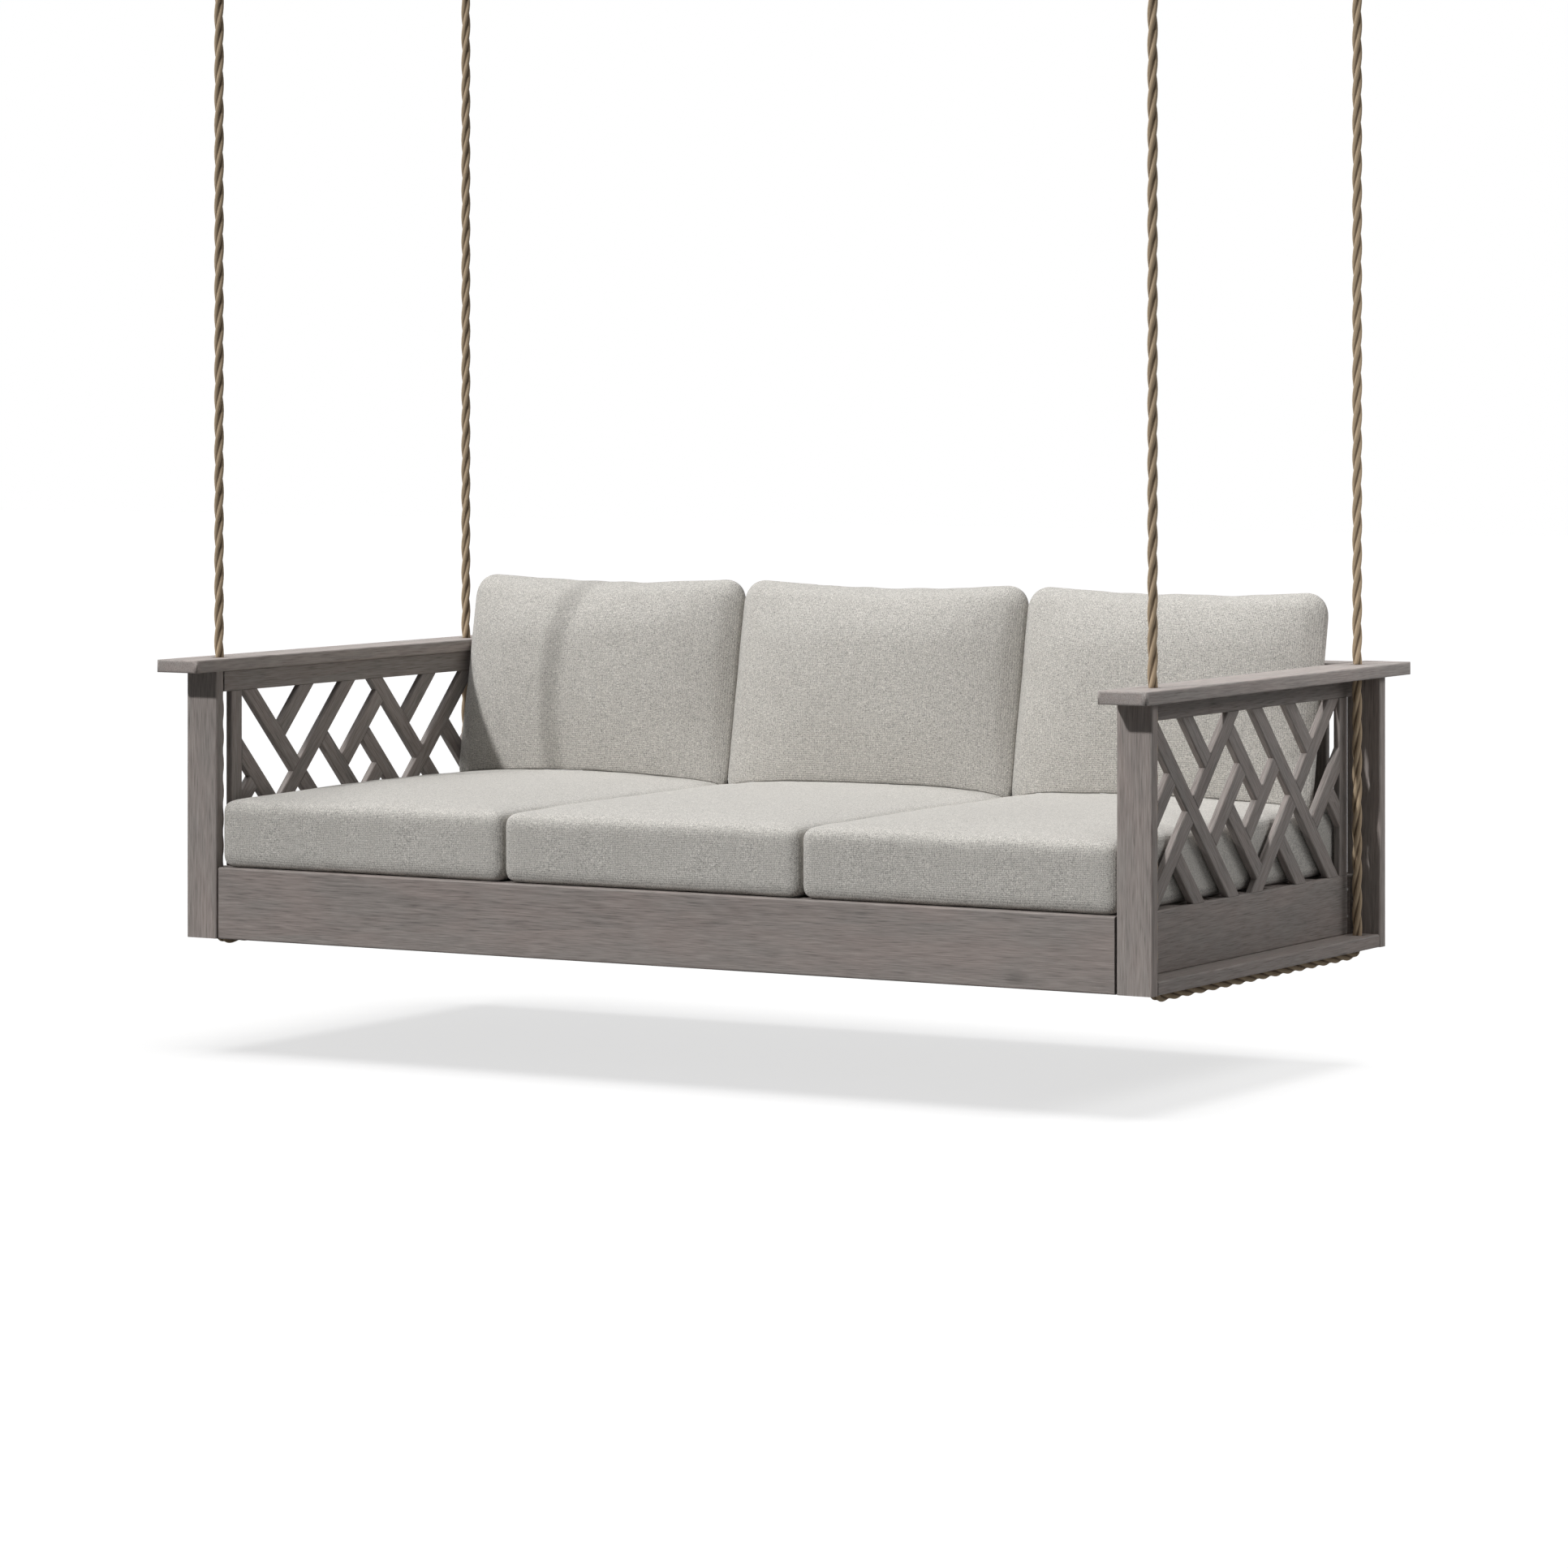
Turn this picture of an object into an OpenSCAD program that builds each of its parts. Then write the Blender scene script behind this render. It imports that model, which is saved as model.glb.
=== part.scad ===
// Hanging swing bed: a board frame with trellis ends and back, six loose cushions, and four ropes.
// The origin is the ceiling plane at the centre of the four hangers.
// X runs along the bed, +Y to its back, +Z up. All sizes are in millimetres.

/* [Bed frame] */
// Length over the outer faces of the posts
frame_len = 2100; // [2000:10:2300]
// Depth over the front and rear faces of the posts
frame_dep = 1012; // [960:2:1100]
// Height of the posts, which the arms rest on
post_h = 520; // [480:5:560]
// Width of a post, along the bed
post_w = 71; // [68:1:84]
// Thickness of the posts, rails, beams, joists and rope plates
board_t = 25; // [22:0.5:28]
// Height of the front and back rails
rail_h = 139; // [125:1:150]
// How far the rails stand back from the posts' outer faces
rail_setback = 1; // [0.5:0.5:3]
// Gap between a rail's end and its post
rail_gap = 4; // [1:0.5:8]
// How far a beam's end laps behind its post
beam_lap = 18.5; // [14:0.5:24]
// Rounding along the edges of the thick boards
edge_r = 4; // [2:0.5:6]

/* [Seat base] */
// Thickness of a seat slat
slat_t = 19; // [15:1:22]
// Number of seat slats
slat_count = 8; // [6:1:9]
// Gap between the seat slats
slat_gap = 28; // [12:1:40]
// Number of joists between the two beams
joist_count = 5; // [3:1:7]

/* [Arms and back cap] */
// Width of an arm board
arm_w = 100; // [84:1:104]
// How far an arm reaches in over the inner face of its end panel
arm_lap = 5; // [1:1:8]
// Thickness of the arm boards and the back cap
arm_t = 24.5; // [22:0.5:28]
// How far an arm runs past the posts at each end
arm_overhang = 71; // [50:1:90]
// Radius of an arm's corners, seen from above
arm_corner_r = 11; // [5:0.5:12]
// Radius of the hole that a rope runs through
rope_hole_r = 15; // [14:0.5:17]
// Width of the back cap
cap_w = 89; // [80:1:100]
// How far the back cap's front edge lies in front of the rear posts' rear faces
cap_reach = 54; // [50:1:60]

/* [Trellis panels] */
// Thickness of the end and back panels
panel_t = 14; // [12:0.5:18]
// Height of a panel's top rail
top_rail_h = 40; // [30:1:60]
// Width of a stile
stile_w = 36; // [28:1:48]
// Gap between an end panel's stile and the post
stile_gap = 26; // [15:1:30]
// Gap between an apron's end and the beam
apron_gap = 3; // [2.8:0.2:5]
// Gap between the back panel's outer stile and the end panel
back_stile_gap = 32; // [20:1:60]
// Distance of the back panel's front face in front of the rear posts
back_panel_inset = 21; // [18:1:22]
// Width of a trellis bar
bar_w = 35; // [25:1:40]
// Distance between the centre lines of neighbouring trellis bars
bar_pitch = 104; // [95:1:112]
// Rounding along the edges of the thin boards and bars
slim_r = 3; // [1:0.5:5]
// Gap where one trellis bar butts against another
bar_gap = 0.4; // [0.2:0.1:0.8]

/* [Cushions] */
// Gap between the outer cushions and the end panels
cushion_side_gap = 7.5; // [3:0.5:12]
// Gap between neighbouring cushions
cushion_gap = 1.5; // [1:0.5:4]
// Height of a seat cushion at its crown
seat_cushion_h = 148; // [120:1:170]
// How far a seat cushion's crown stands over its edges
seat_crown = 16; // [5:1:25]
// Distance of the seat cushions' front behind the posts' front faces
seat_setback = 11; // [5:1:20]
// Height of a back cushion
back_cushion_h = 393; // [340:1:420]
// Thickness of a back cushion at its edges
back_cushion_t = 97; // [80:1:120]
// How far a back cushion's crown stands in front of its edges
back_crown = 44; // [20:1:60]
// Lean of a back cushion, in degrees
back_cushion_lean = 12.5; // [8:0.5:16]
// Rounding of the cushions' edges
cushion_r = 28; // [20:1:30]

/* [Ropes and hangers] */
// Height of the ceiling over the posts' lower ends
ceiling_h = 2180; // [2180:1:2181]
// Thickness of the rope
rope_d = 19; // [18:0.5:19]
// Distance of a rope from the arm's inner edge
rope_inset = 40; // [38:0.5:44]
// Distance of a rope from the post's inner face
rope_from_post = 39.5; // [39.5:0.5:44]
// Radius of the hole in a rope plate
plate_hole_r = 11; // [10.5:0.5:14]
// Radius of the rope's bend under a rope plate, at its middle
rope_bend_r = 24.5; // [24.5:0.5:26]
// Length of a ceiling bracket
bracket_len = 120; // [110:1:140]
// Width of a ceiling bracket
bracket_w = 50; // [40:1:70]
// Thickness of a ceiling bracket's plate
bracket_t = 6; // [4:0.5:8]
// Distance between the two screw holes of a ceiling bracket
screw_pitch = 80; // [70:1:90]
// Radius of a ceiling bracket's screw holes
screw_hole_r = 5.5; // [4:0.5:7]
// Radius of the pivot bolt that the hanger swings on
bolt_r = 5; // [4:0.5:6]
// Radius of the shackle's pin
pin_r = 6; // [5:0.5:7]
// Depth of the pivot bolt under the ceiling
bolt_depth = 30; // [28:1:32]
// Depth of the shackle's pin under the ceiling
pin_depth = 74; // [73:0.5:75]
// Thickness of the shackle's round bar
shackle_d = 10; // [8:0.5:11]
// Wall of the thimble and of the ferrule
fitting_wall = 2.7; // [2:0.1:2.7]
// Length of the ferrule that holds the rope's eye
ferrule_len = 42; // [30:1:44]

/* [Hidden] */

$fn = 32;
WOOD = [0.44, 0.41, 0.39];
FABRIC = [0.74, 0.72, 0.69];
ROPE = [0.66, 0.56, 0.42];
STEEL = [0.55, 0.56, 0.58];
LEFT = -1;
RIGHT = 1;
FRONT = -1;
REAR = 1;

fit = 0.3; // clearance of pieces that rest against each other
run_fit = 0.05; // radial clearance of a bore that turns on its pin
rope_r = rope_d / 2;

// Planes of the frame, measured from its centre
end_face = frame_len / 2 - post_w; // inner faces of the end panels, and of the posts along the bed
post_face = frame_dep / 2 - board_t; // inner faces of the posts across the bed
beam_face = post_face - board_t; // inner faces of the beams
back_panel_y = post_face - back_panel_inset; // front face of the back panel
cap_y = frame_dep / 2 - cap_reach; // front edge of the back cap
rope_x = end_face + rope_inset;
rope_y = post_face - rope_from_post;

// Heights over the posts' lower ends
beam_h = rail_h - board_t;
panel_top = post_h - top_rail_h;
pivot_h = post_h + arm_t / 2; // where a rope bends in its arm
seat_h = rail_h + fit;
back_cushion_z = seat_h + seat_cushion_h + fit;

cushion_w = (2 * end_face - 2 * cushion_side_gap - 2 * cushion_gap) / 3;
cushion_step = cushion_w + cushion_gap;

// The rope's routes, chosen by hand. The loop's points are across the bed and over the posts' lower ends:
// down from the arm, round the bend and along under the rope plate to the middle.
LOOP_TOP = pivot_h - 9.75;
LOOP_HALF = [
    for (z = [LOOP_TOP, 470, 400, 320, 240, 160, 90, 40, 14.5]) [rope_y, z],
    [rope_y - 2, 5.5], [rope_y - 7, -2.5], [rope_y - 15, -8], [rope_y - 24.5, -9.8],
    for (share = [0.9, 0.7, 0.5, 0.25, 0]) [(rope_y - 24.5) * share, -9.8],
];
// The hanging rope's points are sideways from its line and down from the ceiling: up from the arm, through the
// ferrule and round the thimble to the crown of the eye, and then down the other side to the rope's end.
ROPE_FOOT = pivot_h + 9.75 - ceiling_h;
ROPE_NECK = -370; // where the rope starts to lean towards its ferrule
ROPE_UP = [
    for (share = [0, 0.08, 0.2, 0.33, 0.46, 0.59, 0.72, 0.84, 0.93])
        [0, ROPE_FOOT + (ROPE_NECK - ROPE_FOOT) * share],
    [0, ROPE_NECK], [0, -310], [-1.5, -292], [-5, -276], [-8.7, -262], [-10.2, -252], [-10.2, -230],
    [-10.2, -212],
    [-11.2, -203], [-14, -194], [-20, -178.5], [-27, -161], [-32, -149], [-34.5, -136], [-32, -123],
    [-24.5, -111.5], [-13, -104], [0, -101.5],
];
ROPE_DOWN = [
    [13, -104], [24.5, -111.5], [32, -123], [34.5, -136], [32, -149], [27, -161], [20, -178.5],
    [14, -194], [11.2, -203], [10.2, -212], [10.2, -230], [10.2, -252],
];
EYE_R = 34.5; // radius of the eye's crown, at the rope's middle
EYE_DEPTH = 136; // depth of the crown's centre under the ceiling
EYE_LEG_ANGLE = 22; // lean of the eye's two legs
EYE_LEG_LEN = 50; // length of the thimble's straight legs
FERRULE_X = 10.2; // distance of each of the two rope parts from the ferrule's middle
FERRULE_DEPTH = 209; // depth of the ferrule's top under the ceiling
ROPE_SIDES = 12;

// ---------------------------------------------------------------- helpers

// A rectangle with rounded corners, its lower left corner at the origin
module rounded_rect(w, h, r) {
    translate([r, 0]) square([w - 2 * r, h]);
    translate([0, r]) square([w, h - 2 * r]);
    for (x = [r, w - r], y = [r, h - r]) translate([x, y]) circle(r);
}

// A board with its corner at the origin and its long edges rounded; along names its long axis
module board(size, along, r = edge_r) {
    if (along == "x") rotate([90, 0, 90]) linear_extrude(size.x) rounded_rect(size.y, size.z, r);
    if (along == "y") translate([0, size.y, 0]) rotate([90, 0, 0])
        linear_extrude(size.y) rounded_rect(size.x, size.z, r);
    if (along == "z") linear_extrude(size.z) rounded_rect(size.x, size.y, r);
}

// The two ends are the same, turned half round, and so are the front and the rear of an end
module at_bed() translate([0, 0, -ceiling_h]) children();
module at_end(side) rotate([0, 0, side == RIGHT ? 0 : 180]) children();
module at_corner(side, end) translate([side * rope_x, end * rope_y, 0]) children();
module all_corners() for (side = [LEFT, RIGHT], end = [FRONT, REAR]) at_corner(side, end) children();

// A tube along points of a plane, as one closed mesh; the plane's third axis is Z
function tangent(pts, i) =
    let (d = pts[min(i + 1, len(pts) - 1)] - pts[max(i - 1, 0)]) d / norm(d);
function ring(pts, i, r, n) =
    let (t = tangent(pts, i))
    [for (k = [0:n - 1]) let (a = 360 * k / n, s = r * cos(a))
        [pts[i].x - t.y * s, pts[i].y + t.x * s, r * sin(a)]];
module tube(pts, r, n = ROPE_SIDES) {
    last = len(pts) - 1;
    polyhedron(
        points = [for (i = [0:last]) each ring(pts, i, r, n)],
        faces = concat(
            [[for (k = [0:n - 1]) k]],
            [for (i = [0:last - 1], k = [0:n - 1])
                [i * n + k, (i + 1) * n + k, (i + 1) * n + (k + 1) % n, i * n + (k + 1) % n]],
            [[for (k = [n - 1:-1:0]) last * n + k]]
        )
    );
}

// ---------------------------------------------------------------- bed frame

module rail(y) color(WOOD) at_bed()
    translate([-end_face + rail_gap, y, 0])
        board([2 * (end_face - rail_gap), board_t - rail_setback, rail_h], "x");

module front_rail() rail(-frame_dep / 2 + rail_setback);
module back_rail() rail(post_face);

// A beam stands on the two rope plates and laps behind the posts
module beam(end) color(WOOD) at_bed()
    translate([-end_face - beam_lap, end == FRONT ? -post_face : beam_face, board_t])
        board([2 * (end_face + beam_lap), board_t, beam_h], "x");

module cross_joists() color(WOOD) at_bed() {
    step = (2 * end_face - board_t) / (joist_count - 1);
    for (i = [0:joist_count - 1])
        translate([-end_face + i * step, -beam_face, board_t])
            board([board_t, 2 * beam_face, beam_h - slat_t], "y", slim_r);
}

module seat_slats() color(WOOD) at_bed() {
    slat_w = (2 * beam_face - 2 * fit - (slat_count - 1) * slat_gap) / slat_count;
    for (i = [0:slat_count - 1])
        translate([-end_face + fit, -beam_face + fit + i * (slat_w + slat_gap), rail_h - slat_t])
            board([2 * (end_face - fit), slat_w, slat_t], "x", slim_r);
}

// Two screws at each corner hold a beam's end to its post
module beam_screws() color(STEEL) at_bed() {
    shank_r = 2.5;
    head_r = 4.5;
    head_h = 2.5;
    shank_len = 1.8 * board_t;
    for (side = [LEFT, RIGHT], end = [FRONT, REAR], z = [0.3, 0.75])
        translate([side * (end_face + beam_lap / 2), end * beam_face, board_t + z * beam_h])
            rotate([-90 * end, 0, 0]) {
                cylinder(h = shank_len, r = shank_r);
                translate([0, 0, -head_h]) cylinder(h = head_h, r = head_r);
            }
}

module post(side, end) color(WOOD) at_bed()
    translate([side == LEFT ? -frame_len / 2 : end_face, end == FRONT ? -frame_dep / 2 : post_face, 0])
        board([post_w, board_t, post_h], "z");

// The board under each end that the rope carries, with a channel for the rope's bend at each hole
module rope_plate(side) color(WOOD) at_bed() at_end(side) {
    plate_gap = 3;
    plate_len = 2 * (post_face - plate_gap);
    channel_r = rope_r + 0.8;
    difference() {
        translate([end_face, -plate_len / 2, 0]) board([post_w - rail_setback, plate_len, board_t], "y");
        for (turn = [0, 180]) translate([rope_x, 0, 0]) rotate([0, 0, turn]) {
            translate([0, rope_y, -1]) cylinder(h = board_t + 2, r = plate_hole_r);
            translate([0, rope_y - rope_bend_r, rope_bend_r - rope_r - fit]) rotate([90, 0, 90])
                rotate([0, 0, -90]) rotate_extrude(angle = 90) translate([rope_bend_r, 0]) circle(channel_r);
        }
    }
}

// ---------------------------------------------------------------- end panels

module apron(side) color(WOOD) at_bed() at_end(side)
    translate([end_face, -beam_face + apron_gap, board_t])
        board([panel_t, 2 * (beam_face - apron_gap), beam_h], "y", slim_r);

module end_stiles(side) color(WOOD) at_bed() at_end(side)
    for (y = [-post_face + stile_gap, post_face - stile_gap - stile_w])
        translate([end_face, y, rail_h]) board([panel_t, stile_w, panel_top - rail_h], "z", slim_r);

module end_top_rail(side) color(WOOD) at_bed() at_end(side) {
    end_gap = 2;
    translate([end_face, -post_face + end_gap, panel_top])
        board([panel_t, 2 * (post_face - end_gap), top_rail_h], "y", slim_r);
}

// Trellis bars, as [line, line that it starts on, line that it ends on]. The lines of both directions are
// numbered across the field, 0 to 3 lie symmetrically about its centre, and EDGE is the frame around the field.
EDGE = 99;
FALLING_BARS = [[0, -EDGE, EDGE], [1, 3, EDGE], [1, 0, 2], [-1, -EDGE, 3], [-1, 4, EDGE]];
RISING_BARS = [[3, -EDGE, 0], [3, 0, EDGE], [4, -EDGE, 0], [2, 0, 2]];

// One field of trellis in the plane x-y, centred on the origin. Half of its bars are the others turned round.
module trellis(w, h) {
    reach = norm([w, h]) / 2;
    function line_at(k) = (k - 1.5) * bar_pitch;
    function start_at(k) = k == -EDGE ? -reach : line_at(k) + bar_w / 2 + bar_gap;
    function end_at(k) = k == EDGE ? reach : line_at(k) - bar_w / 2 - bar_gap;
    intersection() {
        translate([-w / 2, -h / 2, 0]) cube([w, h, panel_t]);
        for (turn = [45, 225]) rotate([0, 0, turn]) {
            for (b = FALLING_BARS) translate([line_at(b[0]) - bar_w / 2, start_at(b[1]), 0])
                board([bar_w, end_at(b[2]) - start_at(b[1]), panel_t], "y", slim_r);
            for (b = RISING_BARS) translate([start_at(b[1]), line_at(b[0]) - bar_w / 2, 0])
                board([end_at(b[2]) - start_at(b[1]), bar_w, panel_t], "x", slim_r);
        }
    }
}

module end_trellis(side) color(WOOD) at_bed() at_end(side)
    translate([end_face, 0, (rail_h + panel_top) / 2]) rotate([90, 0, 90])
        trellis(2 * (post_face - stile_gap - stile_w), panel_top - rail_h);

module arm(side) color(WOOD) at_bed() at_end(side) {
    arm_len = frame_dep + 2 * arm_overhang;
    translate([end_face - arm_lap, -arm_len / 2, post_h]) difference() {
        intersection() {
            board([arm_w, arm_len, arm_t], "x");
            board([arm_w, arm_len, arm_t], "y");
            board([arm_w, arm_len, arm_t], "z", arm_corner_r);
        }
        for (y = [arm_len / 2 - rope_y, arm_len / 2 + rope_y])
            translate([rope_inset + arm_lap, y, -1]) cylinder(h = arm_t + 2, r = rope_hole_r);
    }
}

// ---------------------------------------------------------------- back

module back_cap() color(WOOD) at_bed() {
    cap_len = 2 * (end_face - arm_lap);
    translate([-cap_len / 2, cap_y, post_h]) board([cap_len, cap_w, arm_t], "x");
}

module back_top_rail() color(WOOD) at_bed()
    translate([-end_face, back_panel_y, panel_top]) board([2 * end_face, panel_t, top_rail_h], "x", slim_r);

back_outer_stile = end_face - back_stile_gap - stile_w; // inner edge of an outer stile

module back_stiles() color(WOOD) at_bed()
    for (x = [-back_outer_stile - stile_w, -stile_w / 2, back_outer_stile])
        translate([x, back_panel_y, rail_h]) board([stile_w, panel_t, panel_top - rail_h], "z", slim_r);

module back_trellis() color(WOOD) at_bed() {
    field_w = back_outer_stile - stile_w / 2;
    for (side = [LEFT, RIGHT])
        translate([side * (stile_w + field_w) / 2, back_panel_y + panel_t, (rail_h + panel_top) / 2])
            rotate([90, 0, 0]) trellis(field_w, panel_top - rail_h);
}

// ---------------------------------------------------------------- cushions

// A prism under a flat arch of the given span and rise, along Y; it reaches down below the arch's feet
module arch(span, length, rise, down) {
    steps = 12;
    rotate([90, 0, 0]) linear_extrude(length, center = true) polygon([
        [span / 2, -down], [-span / 2, -down],
        for (i = [0:steps]) let (u = 2 * i / steps - 1) [u * span / 2, rise * (1 - u * u)],
    ]);
}

// A block with its corner at the origin and all its edges rounded
module soft_block(size) intersection() {
    board(size, "x", cushion_r);
    board(size, "y", cushion_r);
    board(size, "z", cushion_r);
}

// The swell on a cushion's upper face, about the middle of that face: arched both ways, more steeply along Y
module crown(size, rise, steepness = 1) {
    across = size.x - 2.4 * cushion_r;
    along = size.y - 2.4 * cushion_r;
    intersection() {
        arch(across, along, rise, cushion_r);
        rotate([0, 0, 90]) arch(along, across, rise * steepness, cushion_r);
    }
}

// A cushion lies on the seat, its edges rounded and its middle higher than its edges
module seat_cushion(place) color(FABRIC) at_bed() {
    front = -frame_dep / 2 + seat_setback;
    depth = back_panel_y - fit - front;
    edge_h = seat_cushion_h - seat_crown;
    translate([place * cushion_step, front + depth / 2, seat_h]) {
        translate([-cushion_w / 2, -depth / 2, 0]) soft_block([cushion_w, depth, edge_h]);
        translate([0, 0, edge_h]) crown([cushion_w, depth], seat_crown);
    }
}

// A back cushion leans against the rounded upper edge of the back cap, and its foot is flat on the seat
module back_cushion(place) color(FABRIC) at_bed() {
    edge = [0, cap_y + edge_r, post_h + arm_t - edge_r];
    forward = edge_r + fit + back_cushion_t;
    corner_rise = (forward - cushion_r) * sin(back_cushion_lean);
    rise = back_cushion_z + back_cushion_h - cushion_r - edge.z - corner_rise;
    above = cushion_r + rise / cos(back_cushion_lean);
    drop = edge.z - back_cushion_z + forward * sin(back_cushion_lean);
    below = 1.2 * cushion_r + drop / cos(back_cushion_lean);
    height = below + above;
    translate([place * cushion_step - cushion_w / 2, 0, 0]) {
        intersection() {
            translate(edge) rotate([-back_cushion_lean, 0, 0])
                translate([0, -forward, -below]) soft_block([cushion_w, back_cushion_t, height]);
            translate([-cushion_r, 0, back_cushion_z])
                cube([cushion_w + 2 * cushion_r, frame_dep, 2 * back_cushion_h]);
        }
        translate(edge) rotate([-back_cushion_lean, 0, 0])
            translate([cushion_w / 2, -forward, height / 2 - below])
                rotate([90, 0, 0]) crown([cushion_w, height], back_crown, 1.15);
    }
}

// ---------------------------------------------------------------- ropes

// The ball of rope in an arm's hole that the rope bends at
module rope_bend(side, end) translate([side * rope_x, end * rope_y, pivot_h]) sphere(rope_r - 0.2);

// One end's rope from arm to arm, under the rope plate. Its ends meet the hanging ropes in the arms' holes.
module rope_loop(side) color(ROPE) at_bed() {
    other_half = [for (i = [len(LOOP_HALF) - 2:-1:0]) [-LOOP_HALF[i].x, LOOP_HALF[i].y]];
    translate([side * rope_x, 0, 0]) rotate([90, 0, 90]) tube(concat(LOOP_HALF, other_half), rope_r);
    rope_bend(side, REAR);
    if (side == RIGHT) rope_bend(side, FRONT);
}

module front_left_rope_bend() color(ROPE) at_bed() rope_bend(LEFT, FRONT);

module hanging_rope(side, end) color(ROPE) at_corner(side, end)
    rotate([90, 0, 0]) tube(concat(ROPE_UP, ROPE_DOWN), rope_r);

// ---------------------------------------------------------------- hangers

eye_gap = 0.5; // side clearance of the parts that swing on a pin
lug_t = 10; // thickness of the hanger's upper lug
lug_r = 13; // radius of the hanger's upper lug
ear_t = 5; // thickness of a bracket's ear
ear_r = 14; // radius of a bracket's ear
barrel_len = 27; // length of the hanger's lower barrel
barrel_r = 12; // radius of the barrel and of the shackle's ears
head_r = 9; // radius of the bolts' and pins' heads
head_h = 6; // height of the bolts' and pins' heads

// A plate on the ceiling with two ears that hold the pivot bolt
module ceiling_brackets() color(STEEL) all_corners() difference() {
    union() {
        translate([-bracket_w / 2, -bracket_len / 2, -bracket_t]) cube([bracket_w, bracket_len, bracket_t]);
        for (x = [-lug_t / 2 - eye_gap - ear_t, lug_t / 2 + eye_gap]) translate([x, 0, -bolt_depth]) {
            rotate([0, 90, 0]) cylinder(h = ear_t, r = ear_r);
            translate([0, -ear_r, 0]) cube([ear_t, 2 * ear_r, bolt_depth - bracket_t / 2]);
        }
    }
    translate([-bracket_w, 0, -bolt_depth]) rotate([0, 90, 0]) cylinder(h = 2 * bracket_w, r = bolt_r + fit);
    for (y = [-1, 1] * screw_pitch / 2)
        translate([0, y, -2 * bracket_t]) cylinder(h = 3 * bracket_t, r = screw_hole_r);
}

// A pin along X with a hexagon at each end, its middle at the origin
module pin(half_len, r) {
    rotate([0, 90, 0]) {
        translate([0, 0, -half_len]) cylinder(h = 2 * half_len, r = r);
        for (z = [-half_len - head_h, half_len])
            translate([0, 0, z]) cylinder(h = head_h, r = head_r, $fn = 6);
    }
}

module pivot_bolts() color(STEEL) all_corners()
    translate([0, 0, -bolt_depth]) pin(lug_t / 2 + eye_gap + ear_t + fit, bolt_r);

// A flat lug that swings on the pivot bolt, and below it a barrel for the shackle's pin
module hanger(side, end) color(STEEL) at_corner(side, end) difference() {
    union() {
        translate([-lug_t / 2, 0, -bolt_depth]) rotate([0, 90, 0]) cylinder(h = lug_t, r = lug_r);
        translate([-lug_t / 2, -barrel_r, -pin_depth]) cube([lug_t, 2 * barrel_r, pin_depth - bolt_depth]);
        translate([0, barrel_len / 2, -pin_depth]) rotate([90, 0, 0]) cylinder(h = barrel_len, r = barrel_r);
    }
    translate([-lug_t, 0, -bolt_depth]) rotate([0, 90, 0]) cylinder(h = 2 * lug_t, r = bolt_r + run_fit);
    translate([0, barrel_len, -pin_depth])
        rotate([90, 0, 0]) cylinder(h = 2 * barrel_len, r = pin_r + run_fit);
}

// The U of round bar that the rope's eye hangs in, with its pin through the hanger's barrel
module shackle(side, end) color(STEEL) at_corner(side, end) {
    bar_r = shackle_d / 2;
    lug_d = shackle_d + 1;
    inner_y = barrel_len / 2 + eye_gap;
    leg_y = inner_y + lug_d / 2;
    // the bar's lowest point carries the thimble's crown
    bow_depth = EYE_DEPTH - EYE_R + rope_r + fit + fitting_wall + bar_r + fit - leg_y;
    difference() {
        union() {
            for (y = [-inner_y, inner_y + lug_d]) translate([0, y, -pin_depth])
                rotate([90, 0, 0]) cylinder(h = lug_d, r = barrel_r);
            for (y = [-leg_y, leg_y])
                translate([0, y, -bow_depth]) cylinder(h = bow_depth - pin_depth, r = bar_r);
            translate([0, 0, -bow_depth]) rotate([90, 0, 90])
                rotate([0, 0, 180]) rotate_extrude(angle = 180) translate([leg_y, 0]) circle(bar_r);
        }
        translate([0, 2 * barrel_len, -pin_depth])
            rotate([90, 0, 0]) cylinder(h = 4 * barrel_len, r = pin_r + fit);
    }
    translate([0, 0, -pin_depth]) rotate([0, 0, 90]) pin(inner_y + lug_d + fit, pin_r);
}

// The section of the thimble: half of a ring around the rope, on the side of the eye
module channel() {
    groove_r = rope_r + fit;
    intersection() {
        difference() {
            circle(groove_r + fitting_wall);
            circle(groove_r);
        }
        translate([-2 * groove_r, -2 * groove_r]) square([2 * groove_r - 1, 4 * groove_r]);
    }
}

// The metal lining of the rope's eye, over the crown and down the two legs
module thimble(side, end) color(STEEL) at_corner(side, end)
    translate([0, 0, -EYE_DEPTH]) rotate([90, 0, 0]) {
        rotate([0, 0, -EYE_LEG_ANGLE])
            rotate_extrude(angle = 180 + 2 * EYE_LEG_ANGLE) translate([EYE_R, 0]) channel();
        for (leg = [[-EYE_LEG_ANGLE, 90], [180 + EYE_LEG_ANGLE, -90]])
            rotate([0, 0, leg[0]]) translate([EYE_R, 0, 0])
                rotate([leg[1], 0, 0]) linear_extrude(EYE_LEG_LEN) channel();
    }

// The pressed sleeve that joins the two parts of the rope under the eye
module ferrule(side, end) color(STEEL) at_corner(side, end)
    translate([0, 0, -FERRULE_DEPTH - ferrule_len]) linear_extrude(ferrule_len) difference() {
        outer_r = rope_r + fit + fitting_wall;
        union() {
            for (x = [-FERRULE_X, FERRULE_X]) translate([x, 0]) circle(outer_r);
            translate([-FERRULE_X, -outer_r + 1]) square([2 * FERRULE_X, 2 * outer_r - 2]);
        }
        for (x = [-FERRULE_X, FERRULE_X]) translate([x, 0]) circle(rope_r + fit);
    }

// ---------------------------------------------------------------- the nodes

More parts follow.
